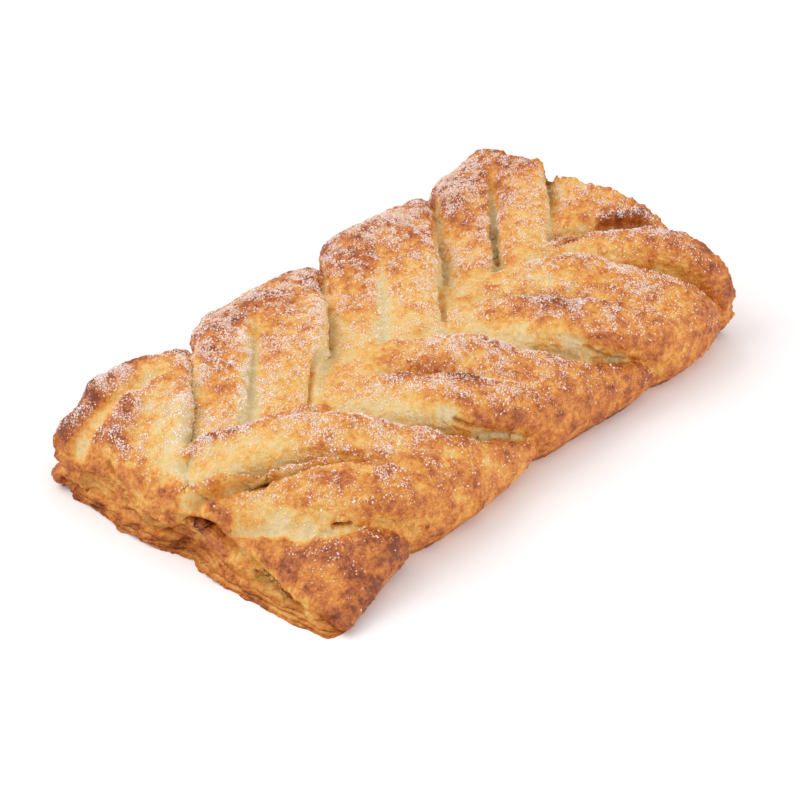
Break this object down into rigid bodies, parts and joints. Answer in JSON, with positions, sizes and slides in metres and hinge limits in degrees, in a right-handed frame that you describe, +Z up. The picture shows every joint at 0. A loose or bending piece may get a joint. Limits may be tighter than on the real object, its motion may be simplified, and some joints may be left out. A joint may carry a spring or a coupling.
{
  "type": "apple danish",
  "caption": "Plaited puff pastry: sugared strips fold up from both long sides over a filled core and meet in a zigzag along the top, on a flaky base sheet.",
  "frame": {"origin": "on the tray, under the middle of the plait's bounding box", "axes": "+X along the plait, +Y to its left seen from the -X end, +Z up from the tray"},
  "size_m": [0.1542, 0.0846, 0.0293],
  "materials": {
    "crust": "baked puff pastry, dull with a faint egg-wash sheen",
    "sugar": "white sugar grains, slightly clear"
  },
  "bodies": {
    "root": {"pastry": "crust"}
  },
  "joints": []
}
